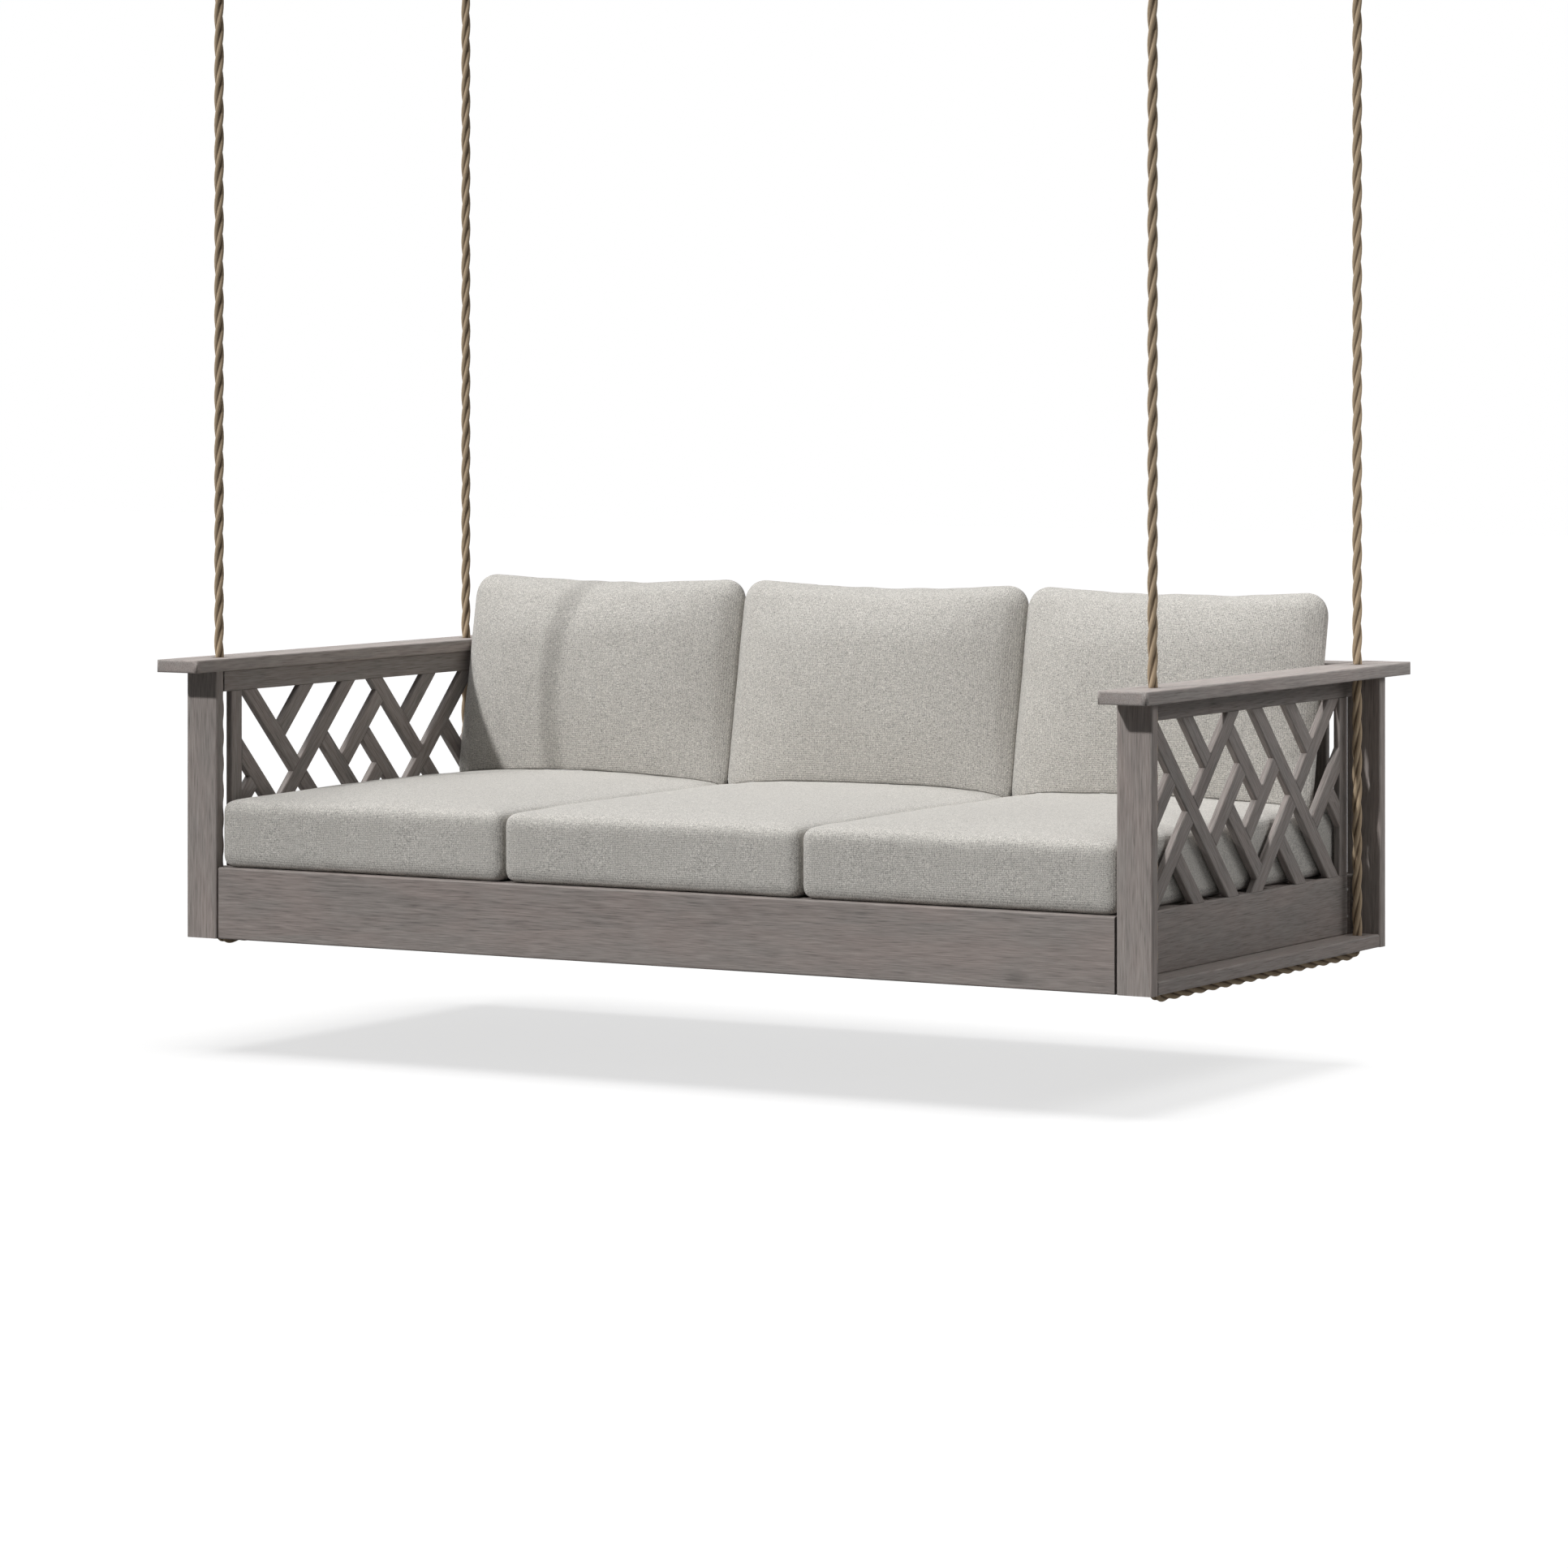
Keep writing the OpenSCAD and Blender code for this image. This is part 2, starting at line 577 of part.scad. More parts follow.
front_rail();
back_rail();
beam(FRONT);  // front_beam
beam(REAR);  // back_beam
cross_joists();
seat_slats();
rope_plate(LEFT);  // left_rope_plate
rope_plate(RIGHT);  // right_rope_plate
apron(LEFT);  // left_apron
apron(RIGHT);  // right_apron
end_stiles(LEFT);  // left_stiles
end_stiles(RIGHT);  // right_stiles
end_top_rail(LEFT);  // left_top_rail
end_top_rail(RIGHT);  // right_top_rail
end_trellis(LEFT);  // left_trellis
end_trellis(RIGHT);  // right_trellis
post(LEFT, FRONT);  // front_left_post
post(RIGHT, FRONT);  // front_right_post
post(LEFT, REAR);  // rear_left_post
post(RIGHT, REAR);  // rear_right_post
arm(LEFT);  // left_arm
arm(RIGHT);  // right_arm
back_cap();
back_top_rail();
back_stiles();
back_trellis();
beam_screws();
seat_cushion(-1);  // left_seat_cushion
seat_cushion(0);  // middle_seat_cushion
seat_cushion(1);  // right_seat_cushion
back_cushion(-1);  // left_back_cushion
back_cushion(0);  // middle_back_cushion
back_cushion(1);  // right_back_cushion
rope_loop(LEFT);  // left_rope_loop
rope_loop(RIGHT);  // right_rope_loop
front_left_rope_bend();
ceiling_brackets();
pivot_bolts();
hanger(LEFT, FRONT);  // front_left_hanger
hanger(RIGHT, FRONT);  // front_right_hanger
hanger(LEFT, REAR);  // rear_left_hanger
hanger(RIGHT, REAR);  // rear_right_hanger
shackle(LEFT, FRONT);  // front_left_shackle
shackle(RIGHT, FRONT);  // front_right_shackle
shackle(LEFT, REAR);  // rear_left_shackle
shackle(RIGHT, REAR);  // rear_right_shackle
thimble(LEFT, FRONT);  // front_left_thimble
thimble(RIGHT, FRONT);  // front_right_thimble
thimble(LEFT, REAR);  // rear_left_thimble
thimble(RIGHT, REAR);  // rear_right_thimble
ferrule(LEFT, FRONT);  // front_left_ferrule
ferrule(RIGHT, FRONT);  // front_right_ferrule
ferrule(LEFT, REAR);  // rear_left_ferrule
ferrule(RIGHT, REAR);  // rear_right_ferrule
hanging_rope(LEFT, FRONT);  // front_left_rope
hanging_rope(RIGHT, FRONT);  // front_right_rope
hanging_rope(LEFT, REAR);  // rear_left_rope
hanging_rope(RIGHT, REAR);  // rear_right_rope
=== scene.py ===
import math

import bmesh
import bpy
from mathutils import Matrix, Vector, noise
from mathutils.bvhtree import BVHTree


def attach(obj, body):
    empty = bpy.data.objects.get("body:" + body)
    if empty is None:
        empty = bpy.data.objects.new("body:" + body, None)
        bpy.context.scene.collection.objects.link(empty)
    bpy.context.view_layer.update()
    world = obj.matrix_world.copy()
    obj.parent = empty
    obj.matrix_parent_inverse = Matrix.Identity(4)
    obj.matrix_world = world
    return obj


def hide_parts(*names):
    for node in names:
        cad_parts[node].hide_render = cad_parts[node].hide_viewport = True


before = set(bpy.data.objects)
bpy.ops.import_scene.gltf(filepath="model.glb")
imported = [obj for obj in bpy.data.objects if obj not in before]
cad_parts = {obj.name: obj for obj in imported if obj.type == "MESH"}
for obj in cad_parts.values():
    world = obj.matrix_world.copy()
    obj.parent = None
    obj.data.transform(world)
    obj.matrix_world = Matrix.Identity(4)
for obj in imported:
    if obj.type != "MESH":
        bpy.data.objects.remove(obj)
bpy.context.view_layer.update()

scene = bpy.context.scene
scene.view_settings.view_transform = "Standard"

# ---------------------------------------------------------------- sizes of the part, in metres and radians

CEILING_H = 2.180  # ceiling over the posts' lower ends
GROUND_GAP = 0.225  # posts' lower ends over the floor of the picture
FLOOR_Z = -CEILING_H - GROUND_GAP
ROPE_X = 1.019
ROPE_Y = 0.4415
PIVOT_Z = 0.53225 - CEILING_H
CUSHION_W = 0.646667
CUSHION_STEP = 0.648167
SEAT_Z = 0.1393 - CEILING_H
SEAT_FRONT = -0.495
SEAT_BACK = 0.4597
SEAT_H = 0.148
SEAT_EDGE_H = 0.131
FRONT_BULGE = 0.009  # how far a seat cushion swells over the rail
BACK_LEAN = math.radians(12.5)
CAP_EDGE_Y = 0.456  # centre of the rounding of the back cap's upper front edge
CAP_EDGE_Z = 0.5405 - CEILING_H
CAP_EDGE_GAP = 0.0043  # from that centre to the plane that a back cushion leans on
CORNERS = (
    ("front_left", -1, -1),
    ("front_right", 1, -1),
    ("rear_left", -1, 1),
    ("rear_right", 1, 1),
)

# ---------------------------------------------------------------- camera

camera_data = bpy.data.cameras.new("camera")
camera_data.sensor_fit = "HORIZONTAL"
camera_data.sensor_width = 36
camera_data.lens = 131.26
camera_data.shift_x = 0.0003
camera_data.shift_y = -0.2751
camera = bpy.data.objects.new("camera", camera_data)
camera.location = (5.5456, -9.5977, -1.0383)
camera.rotation_euler = (math.radians(90), 0, math.radians(30))
scene.collection.objects.link(camera)
scene.camera = camera

# ---------------------------------------------------------------- material tools


def add(tree, kind, values=(), **settings):
    """A new shader node. values are its inputs in order: a socket to link, a value, or None to leave one."""
    node = tree.nodes.new(kind)
    for key, value in settings.items():
        setattr(node, key, value)
    for i, value in enumerate(values):
        if isinstance(value, bpy.types.NodeSocket):
            tree.links.new(value, node.inputs[i])
        elif value is not None:
            node.inputs[i].default_value = value
    return node


def maths(tree, operation, a, b=None, c=None):
    return add(tree, "ShaderNodeMath", (a, b, c), operation=operation).outputs[0]


def scaled(tree, vector, factors):
    return add(tree, "ShaderNodeVectorMath", (vector, factors), operation="MULTIPLY").outputs[0]


def cloud(tree, vector, scale=1.0, detail=2.0, roughness=0.5):
    """Noise from 0 to 1 about 0.5."""
    return add(tree, "ShaderNodeTexNoise", (vector, None, scale, detail, roughness)).outputs[0]


def between(tree, value, low, high, to_low=0.0, to_high=1.0):
    return add(tree, "ShaderNodeMapRange", (value, low, high, to_low, to_high)).outputs[0]


def varied(tree, source, amount, value):
    """value plus amount times what source has over 0.5."""
    return maths(tree, "MULTIPLY_ADD", maths(tree, "SUBTRACT", source, 0.5), amount, value)


def mixed(tree, factor, a, b):
    """Colours a and b mixed by factor."""
    node = add(tree, "ShaderNodeMix", (factor,), data_type="RGBA")
    for i, value in ((6, a), (7, b)):
        if isinstance(value, bpy.types.NodeSocket):
            tree.links.new(value, node.inputs[i])
        else:
            node.inputs[i].default_value = (*value, 1)
    return node.outputs[2]


def shade(tree, colour, value):
    """A colour multiplied by a plain number from the node tree."""
    return add(tree, "ShaderNodeVectorMath", (colour, value), operation="MULTIPLY").outputs[0]


def new_material(name, roughness, specular=0.3, metallic=0.0):
    material = bpy.data.materials.new(name)
    material.use_nodes = True
    shader = material.node_tree.nodes["Principled BSDF"]
    shader.inputs["Roughness"].default_value = roughness
    shader.inputs["Specular IOR Level"].default_value = specular
    shader.inputs["Metallic"].default_value = metallic
    return material, material.node_tree, shader


def finish_material(tree, shader, colour, height=None, distance=0.001, strength=1.0):
    tree.links.new(colour, shader.inputs["Base Color"])
    if height is not None:
        bump = add(tree, "ShaderNodeBump", (strength, distance, None, height))
        tree.links.new(bump.outputs[0], shader.inputs["Normal"])


# ---------------------------------------------------------------- materials


BOARD_SHIFTS = (19.1, 3.7, 5.3)  # a board's random mark times these moves its grain
WARM = (1.015, 0.992, 0.985)  # factors of a wood's tone
COOL = (0.985, 1.005, 1.005)


def wood(name, along, tone):
    """Weathered acacia with its grain along a direction. Every board gets its own piece of grain."""
    material, tree, shader = new_material(name, roughness=0.66, specular=0.18)
    along = Vector(along).normalized()
    across = along.cross(Vector((0, 0, 1)) if abs(along.z) < 0.9 else Vector((1, 0, 0))).normalized()
    place = add(tree, "ShaderNodeTexCoord").outputs["Object"]
    parts = [
        add(tree, "ShaderNodeVectorMath", (place, direction), operation="DOT_PRODUCT").outputs["Value"]
        for direction in (along, across, along.cross(across))
    ]
    board = add(tree, "ShaderNodeNewGeometry").outputs["Random Per Island"]
    node = add(tree, "ShaderNodeObjectInfo").outputs["Random"]
    mark = maths(tree, "MULTIPLY_ADD", node, 7.3, board)
    shifted = [maths(tree, "MULTIPLY_ADD", mark, shift, part) for part, shift in zip(parts, BOARD_SHIFTS)]
    grain = add(tree, "ShaderNodeCombineXYZ", shifted).outputs[0]

    fibres = cloud(tree, scaled(tree, grain, (22, 520, 520)), 1, 2, 0.55)
    streaks = cloud(tree, scaled(tree, grain, (3.5, 150, 150)), 1, 4, 0.6)
    broad = cloud(tree, scaled(tree, grain, (0.9, 7, 7)), 1, 2, 0.5)
    tint = cloud(tree, scaled(tree, grain, (5, 15, 15)), 1, 3, 0.6)
    spots = add(tree, "ShaderNodeTexVoronoi", (scaled(tree, grain, (4.2, 8, 8)), None, 1.0))
    near_knot = between(tree, spots.outputs["Distance"], 0.02, 0.13, 1, 0)
    spot_marks = add(tree, "ShaderNodeSeparateColor", (spots.outputs["Color"],)).outputs
    chosen = maths(tree, "GREATER_THAN", spot_marks[0], 0.7)
    knots = maths(tree, "MULTIPLY", near_knot, chosen)
    lines = maths(tree, "SINE", maths(tree, "MULTIPLY_ADD", knots, 2.5, maths(tree, "MULTIPLY", broad, 130)))
    pores = between(tree, fibres, 0.30, 0.40, 1, 0)

    value = varied(tree, fibres, 1.1, 1.0)
    value = varied(tree, streaks, 0.38, value)
    value = varied(tree, tint, 0.17, value)
    value = maths(tree, "MULTIPLY_ADD", lines, 0.035, value)
    value = maths(tree, "MULTIPLY_ADD", pores, -0.10, value)
    value = maths(tree, "MULTIPLY_ADD", knots, -0.38, value)
    value = varied(tree, node, 0.08, value)
    value = varied(tree, board, 0.12, value)
    warm = tuple(c * f for c, f in zip(tone, WARM))
    cool = tuple(c * f for c, f in zip(tone, COOL))
    colour = shade(tree, mixed(tree, between(tree, tint, 0.38, 0.62), cool, warm), value)
    height = maths(tree, "ADD", maths(tree, "MULTIPLY", streaks, 0.5), maths(tree, "MULTIPLY", fibres, 0.5))
    finish_material(tree, shader, colour, height, distance=0.0007, strength=0.6)
    return material


def fabric():
    """Woven outdoor cloth: a fine basket of two shades with thick and thin yarns."""
    material, tree, shader = new_material("cushion_fabric", roughness=0.85, specular=0.5)
    shader.inputs["Sheen Weight"].default_value = 0.2
    shader.inputs["Sheen Roughness"].default_value = 0.5
    place = add(tree, "ShaderNodeTexCoord").outputs["Object"]
    x, y, z = add(tree, "ShaderNodeSeparateXYZ", (place,)).outputs
    turn = 2 * math.pi / WEAVE
    wobble = maths(tree, "MULTIPLY", cloud(tree, place, 210, 1), 3.0)
    rising = maths(tree, "ADD", x, maths(tree, "ADD", y, z))
    falling = maths(tree, "SUBTRACT", x, maths(tree, "ADD", y, z))
    warp = maths(tree, "SINE", maths(tree, "MULTIPLY_ADD", rising, turn, wobble))
    weft = maths(tree, "SINE", maths(tree, "MULTIPLY_ADD", falling, turn, wobble))
    weave = maths(tree, "MULTIPLY", warp, weft)
    specks = cloud(tree, place, 560, 0)
    slubs = cloud(tree, scaled(tree, place, (0.6, 1, 1)), 260, 1, 0.5)
    patches = cloud(tree, place, 60, 3, 0.6)
    value = maths(tree, "MULTIPLY_ADD", weave, 0.26, 1.0)
    value = varied(tree, specks, 1.2, value)
    value = varied(tree, slubs, 0.6, value)
    value = varied(tree, patches, 0.14, value)
    height = maths(tree, "MULTIPLY_ADD", slubs, 1.2, weave)
    finish_material(tree, shader, shade(tree, FABRIC_TONE, value), height, distance=0.0004, strength=0.4)
    return material


def rope_fibre():
    """Twisted fibre rope: the strand attribute is 0 between two strands and 1 on top of a strand. The grooves
    between strands get a darker colour, as painted shade.
    """
    material, tree, shader = new_material("rope_fibre", roughness=0.85, specular=0.2)
    place = add(tree, "ShaderNodeTexCoord").outputs["UV"]
    strand = add(tree, "ShaderNodeAttribute", attribute_name="strand").outputs["Fac"]
    yarns = cloud(tree, scaled(tree, place, (26, 60, 1)), 1, 2, 0.6)
    dirt = cloud(tree, scaled(tree, place, (2, 9, 1)), 1, 3, 0.6)
    value = varied(tree, yarns, 0.5, 1.0)
    value = varied(tree, dirt, 0.25, value)
    # painted shade: the colour darkens into the grooves between strands, where shade falls
    colour = shade(tree, mixed(tree, between(tree, strand, 0.0, 0.32), ROPE_GROOVE_SHADE, ROPE_TONE), value)
    finish_material(tree, shader, colour, yarns, distance=0.0006, strength=0.8)
    return material


def zinc(name, roughness):
    """Galvanised steel with soft spangles."""
    material, tree, shader = new_material(name, roughness, specular=0.5, metallic=1.0)
    place = add(tree, "ShaderNodeTexCoord").outputs["Object"]
    spangle = add(tree, "ShaderNodeTexVoronoi", (place, None, 190.0)).outputs["Color"]
    grey = add(tree, "ShaderNodeSeparateColor", (spangle,)).outputs[0]
    scuffs = cloud(tree, place, 70, 4, 0.65)
    value = maths(tree, "MULTIPLY_ADD", grey, 0.14, 0.86)
    value = varied(tree, scuffs, 0.35, value)
    dullness = between(tree, scuffs, 0.3, 0.7, roughness - 0.08, roughness + 0.12)
    tree.links.new(dullness, shader.inputs["Roughness"])
    finish_material(tree, shader, shade(tree, STEEL_TONE, value), scuffs, distance=0.0003, strength=0.3)
    return material


WEAVE = 0.007  # two basket squares of the cloth, along the diagonal directions
FABRIC_TONE = (0.485, 0.467, 0.435)
ROPE_TONE = (0.48, 0.37, 0.25)
# painted shade: the darker colour painted into the rope's grooves
ROPE_GROOVE_SHADE = (0.16, 0.115, 0.075)
STEEL_TONE = (0.62, 0.62, 0.63)
RAIL_TONE = (0.285, 0.252, 0.236)
POST_TONE = (0.325, 0.288, 0.270)
ARM_TONE = (0.350, 0.314, 0.297)
PANEL_TONE = (0.285, 0.255, 0.240)

# ---------------------------------------------------------------- meshes


def new_object(name, points, faces, material):
    mesh = bpy.data.meshes.new(name)
    mesh.from_pydata([tuple(p) for p in points], [], faces)
    mesh.materials.append(material)
    mesh.shade_smooth()
    obj = bpy.data.objects.new(name, mesh)
    scene.collection.objects.link(obj)
    return obj


def resampled(points, step):
    """The same line with evenly spaced points, and its length."""
    lengths = [0.0]
    for a, b in zip(points, points[1:]):
        lengths.append(lengths[-1] + (b - a).length)
    count = max(1, round(lengths[-1] / step))
    result = []
    i = 0
    for k in range(count + 1):
        at = lengths[-1] * k / count
        while i < len(points) - 2 and lengths[i + 1] < at:
            i += 1
        span = lengths[i + 1] - lengths[i]
        result.append(points[i].lerp(points[i + 1], (at - lengths[i]) / span if span else 0))
    return result, lengths[-1]


FINE_STEP = 0.002
ROUNDINGS = 12


def smooth_line(points, step):
    """The route through the points with its corners rounded."""
    line, _ = resampled(points, FINE_STEP)
    for _ in range(ROUNDINGS):
        line = [line[0]] + [(a + 2 * b + c) / 4 for a, b, c in zip(line, line[1:], line[2:])] + [line[-1]]
    return resampled(line, step)


# ---------------------------------------------------------------- ropes

STRAND_R = 0.0046  # radius of one of the three strands
HELIX_R = 0.0049  # distance of a strand's middle from the rope's middle
GROOVE_R = 0.0064  # radius of the rope at the bottom of a groove
LAY = 0.160  # length in which a strand goes round once
ROPE_START = 0.00975  # from the pivot to a rope's first point, where the lay of the bend goes on
RING = 30  # points round the rope


def strand_lift(angle):
    """Radius of the rope's surface at an angle from the middle of a strand, softened in the groove."""
    angle = (angle + math.pi / 3) % (2 * math.pi / 3) - math.pi / 3
    under = STRAND_R**2 - (HELIX_R * math.sin(angle)) ** 2
    r = HELIX_R * math.cos(angle) + math.sqrt(max(under, 0))
    return max(r, GROOVE_R)


def twisted(name, line, material, lay_start, widths=None):
    """A three-strand rope along a line, as one closed mesh with the grooves of its lay."""
    points, faces, lifts, rounds = [], [], [], []
    tangent = (line[1] - line[0]).normalized()
    side = Vector((1, 0, 0))
    travelled = 0.0
    strand_height = STRAND_R + HELIX_R - GROOVE_R
    for i, centre in enumerate(line):
        ahead = (line[min(i + 1, len(line) - 1)] - line[max(i - 1, 0)]).normalized()
        side = tangent.rotation_difference(ahead) @ side
        tangent = ahead
        other = tangent.cross(side)
        if i:
            travelled += (centre - line[i - 1]).length
        turn = 2 * math.pi * (lay_start + travelled) / LAY
        for k in range(RING):
            angle = 2 * math.pi * k / RING
            r = strand_lift(angle)
            width = widths[i] if widths else 1
            direction = side * math.cos(angle + turn) + other * math.sin(angle + turn)
            points.append(centre + direction * (r * width))
            lifts.append((r - GROOVE_R) / strand_height)
            rounds.append(((angle + turn) / (2 * math.pi), travelled))
    for i in range(len(line) - 1):
        for k in range(RING):
            a, b = i * RING + k, i * RING + (k + 1) % RING
            faces.append((a, b, b + RING, a + RING))
    faces.append(tuple(range(RING - 1, -1, -1)))
    faces.append(tuple((len(line) - 1) * RING + k for k in range(RING)))
    obj = new_object(name, points, faces, material)
    lift = obj.data.attributes.new("strand", "FLOAT", "POINT")
    lift.data.foreach_set("value", lifts)
    uv = obj.data.uv_layers.new(name="around_along")
    for polygon in obj.data.polygons:
        for loop in polygon.loop_indices:
            at = obj.data.loops[loop].vertex_index
            round_at, along_at = rounds[at]
            is_side = polygon.index < (len(line) - 1) * RING
            if is_side and polygon.index % RING == RING - 1 and at % RING == 0:
                round_at += 1
            uv.data[loop].uv = (round_at, along_at)
    return obj


rope_material = rope_fibre()
ROPE_STEP = 0.005

# half of a loop across the bed: down from the arm, round the bend and along under the rope plate
LOOP_TOP = 0.5225
BEND_IN = 0.0245  # from the rope's upright to the end of its bend
UNDER_PLATE = -0.0098
LOOP_HALF = [(ROPE_Y, z) for z in (LOOP_TOP, 0.470, 0.400, 0.320, 0.240, 0.160, 0.090, 0.040, 0.0145)]
LOOP_HALF += [(ROPE_Y - y, z) for y, z in ((0.002, 0.0055), (0.007, -0.0025), (0.015, -0.008))]
LOOP_HALF += [(ROPE_Y - BEND_IN, UNDER_PLATE)]
LOOP_HALF += [((ROPE_Y - BEND_IN) * share, UNDER_PLATE) for share in (0.9, 0.7, 0.5, 0.25, 0)]

# the hanging rope: up from the arm, through the ferrule, round the thimble and back into the ferrule
ROPE_FOOT = PIVOT_Z + ROPE_START
ROPE_NECK = -0.370
ROPE_SHARES = (0, 0.08, 0.2, 0.33, 0.46, 0.59, 0.72, 0.84, 0.93)
THIMBLE_SIDE = [
    (-0.0102, -0.252), (-0.0102, -0.230), (-0.0102, -0.212), (-0.0112, -0.203), (-0.014, -0.194),
    (-0.020, -0.1785), (-0.027, -0.161), (-0.032, -0.149), (-0.0345, -0.136), (-0.032, -0.123),
    (-0.0245, -0.1115), (-0.013, -0.104),
]
ROPE_UP = [(0, ROPE_FOOT + (ROPE_NECK - ROPE_FOOT) * share) for share in ROPE_SHARES]
ROPE_UP += [(0, ROPE_NECK), (0, -0.310), (-0.0015, -0.292), (-0.005, -0.276), (-0.0087, -0.262)]
ROPE_UP += THIMBLE_SIDE + [(0, -0.1015)]
ROPE_DOWN = [(-x, z) for x, z in reversed(THIMBLE_SIDE)]

# the short piece of rope inside the arm's hole, round enough to bend there
BEND_RINGS = 12
BEND_HALF = 0.0094  # half its height
BEND_R = 0.0098  # radius of the ball that its outline follows
THINNEST = 0.01  # square of the least width, as a share
BEND_HEIGHTS = [-BEND_HALF * math.cos(math.pi * (k + 0.5) / BEND_RINGS) for k in range(BEND_RINGS)]
BEND_WIDTHS = [math.sqrt(max(1 - (z / BEND_R) ** 2, THINNEST)) for z in BEND_HEIGHTS]

for corner, side, end in CORNERS:
    route = [Vector((side * ROPE_X + x, end * ROPE_Y, z)) for x, z in ROPE_UP + ROPE_DOWN]
    line, length = smooth_line(route, ROPE_STEP)
    rope = twisted(f"{corner}_hanging_rope", line, rope_material, ROPE_START)
    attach(rope, f"{corner}_line")
    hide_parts(f"{corner}_rope")

    middle = Vector((side * ROPE_X, end * ROPE_Y, PIVOT_Z))
    bend_line = [middle + Vector((0, 0, z)) for z in BEND_HEIGHTS]
    bend = twisted(f"{corner}_bend", bend_line, rope_material, BEND_HEIGHTS[0], BEND_WIDTHS)
    if corner == "front_left":
        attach(bend, "front_left_bend")
        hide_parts("front_left_rope_bend")
    else:
        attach(bend, "bed")
        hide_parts("left_rope_loop" if side < 0 else "right_rope_loop")

for name, side in (("left", -1), ("right", 1)):
    half = [Vector((side * ROPE_X, -y, z - CEILING_H)) for y, z in LOOP_HALF]
    other = [Vector((side * ROPE_X, y, z - CEILING_H)) for y, z in reversed(LOOP_HALF[:-1])]
    line, length = smooth_line(half + other, ROPE_STEP)
    loop = twisted(f"{name}_loop", line, rope_material, ROPE_START)
    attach(loop, "bed")
    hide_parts(f"{name}_rope_loop")

# ---------------------------------------------------------------- boards

DIRECTIONS = {
    "x": (1, 0, 0),
    "y": (0, 1, 0),
    "z": (0, 0, 1),
    "end_rising": (0, 1, 1),
    "end_falling": (0, 1, -1),
    "back_rising": (1, 0, 1),
    "back_falling": (1, 0, -1),
}
BOARDS = {
    "front_rail": ("x", RAIL_TONE),
    "back_rail": ("x", RAIL_TONE),
    "front_beam": ("x", RAIL_TONE),
    "back_beam": ("x", RAIL_TONE),
    "cross_joists": ("y", RAIL_TONE),
    "seat_slats": ("x", RAIL_TONE),
    "left_rope_plate": ("y", RAIL_TONE),
    "right_rope_plate": ("y", RAIL_TONE),
    "left_apron": ("y", RAIL_TONE),
    "right_apron": ("y", RAIL_TONE),
    "left_stiles": ("z", PANEL_TONE),
    "right_stiles": ("z", PANEL_TONE),
    "left_top_rail": ("y", PANEL_TONE),
    "right_top_rail": ("y", PANEL_TONE),
    "front_left_post": ("z", POST_TONE),
    "front_right_post": ("z", POST_TONE),
    "rear_left_post": ("z", POST_TONE),
    "rear_right_post": ("z", POST_TONE),
    "left_arm": ("y", ARM_TONE),
    "right_arm": ("y", ARM_TONE),
    "back_cap": ("x", ARM_TONE),
    "back_top_rail": ("x", PANEL_TONE),
    "back_stiles": ("z", PANEL_TONE),
}
TRELLISES = {"left_trellis": "end", "right_trellis": "end", "back_trellis": "back"}
WELD_WITHIN = 0.00002
SAME_POINT = 20000  # steps per metre of the grid on which two corners count as one
wood_materials = {}


def wood_for(direction, tone):
    key = (direction, tone)
    if key not in wood_materials:
        wood_materials[key] = wood(f"wood_{direction}_{len(wood_materials)}", DIRECTIONS[direction], tone)
    return wood_materials[key]


def dress(node, *materials):
    """Gives a CAD node its materials. Its split faces are welded, so that each board counts as one island."""
    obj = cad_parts[node]
    obj.data.materials.clear()
    for material in materials:
        obj.data.materials.append(material)
    weld = obj.modifiers.new("weld", "WELD")
    weld.merge_threshold = WELD_WITHIN
    normals = obj.modifiers.new("flat_faces", "WEIGHTED_NORMAL")
    normals.mode = "FACE_AREA"
    normals.weight = 100
    return obj


def bars_of(mesh):
    """The polygons of each bar of a trellis, as lists."""
    owner = {}
    parent = list(range(len(mesh.polygons)))

    def root(i):
        while parent[i] != i:
            parent[i] = parent[parent[i]]
            i = parent[i]
        return i

    for polygon in mesh.polygons:
        for v in polygon.vertices:
            key = tuple(round(c * SAME_POINT) for c in mesh.vertices[v].co)
            parent[root(polygon.index)] = root(owner.setdefault(key, polygon.index))
    bars = {}
    for polygon in mesh.polygons:
        bars.setdefault(root(polygon.index), []).append(polygon)
    return bars.values()


for node, (direction, tone) in BOARDS.items():
    dress(node, wood_for(direction, tone))

for node, plane in TRELLISES.items():
    obj = dress(node, wood_for(f"{plane}_rising", PANEL_TONE), wood_for(f"{plane}_falling", PANEL_TONE))
    mesh = obj.data
    flat = 1 if plane == "end" else 0
    for bar in bars_of(mesh):
        points = [mesh.vertices[v].co for polygon in bar for v in polygon.vertices]
        mean_flat = sum(p[flat] for p in points) / len(points)
        mean_z = sum(p.z for p in points) / len(points)
        slope = sum((p[flat] - mean_flat) * (p.z - mean_z) for p in points)
        for polygon in bar:
            polygon.material_index = 0 if slope > 0 else 1

# ---------------------------------------------------------------- metal

zinc_plate = zinc("zinc_plate", roughness=0.42)
zinc_bright = zinc("zinc_bright", roughness=0.3)
dress("ceiling_brackets", zinc_plate)
dress("pivot_bolts", zinc_bright)
dress("beam_screws", zinc_bright)
for corner, _, _ in CORNERS:
    dress(f"{corner}_hanger", zinc_plate)
    dress(f"{corner}_shackle", zinc_bright)
    dress(f"{corner}_thimble", zinc_bright)
    dress(f"{corner}_ferrule", zinc_plate)

# ---------------------------------------------------------------- cushions

cushion_material = fabric()


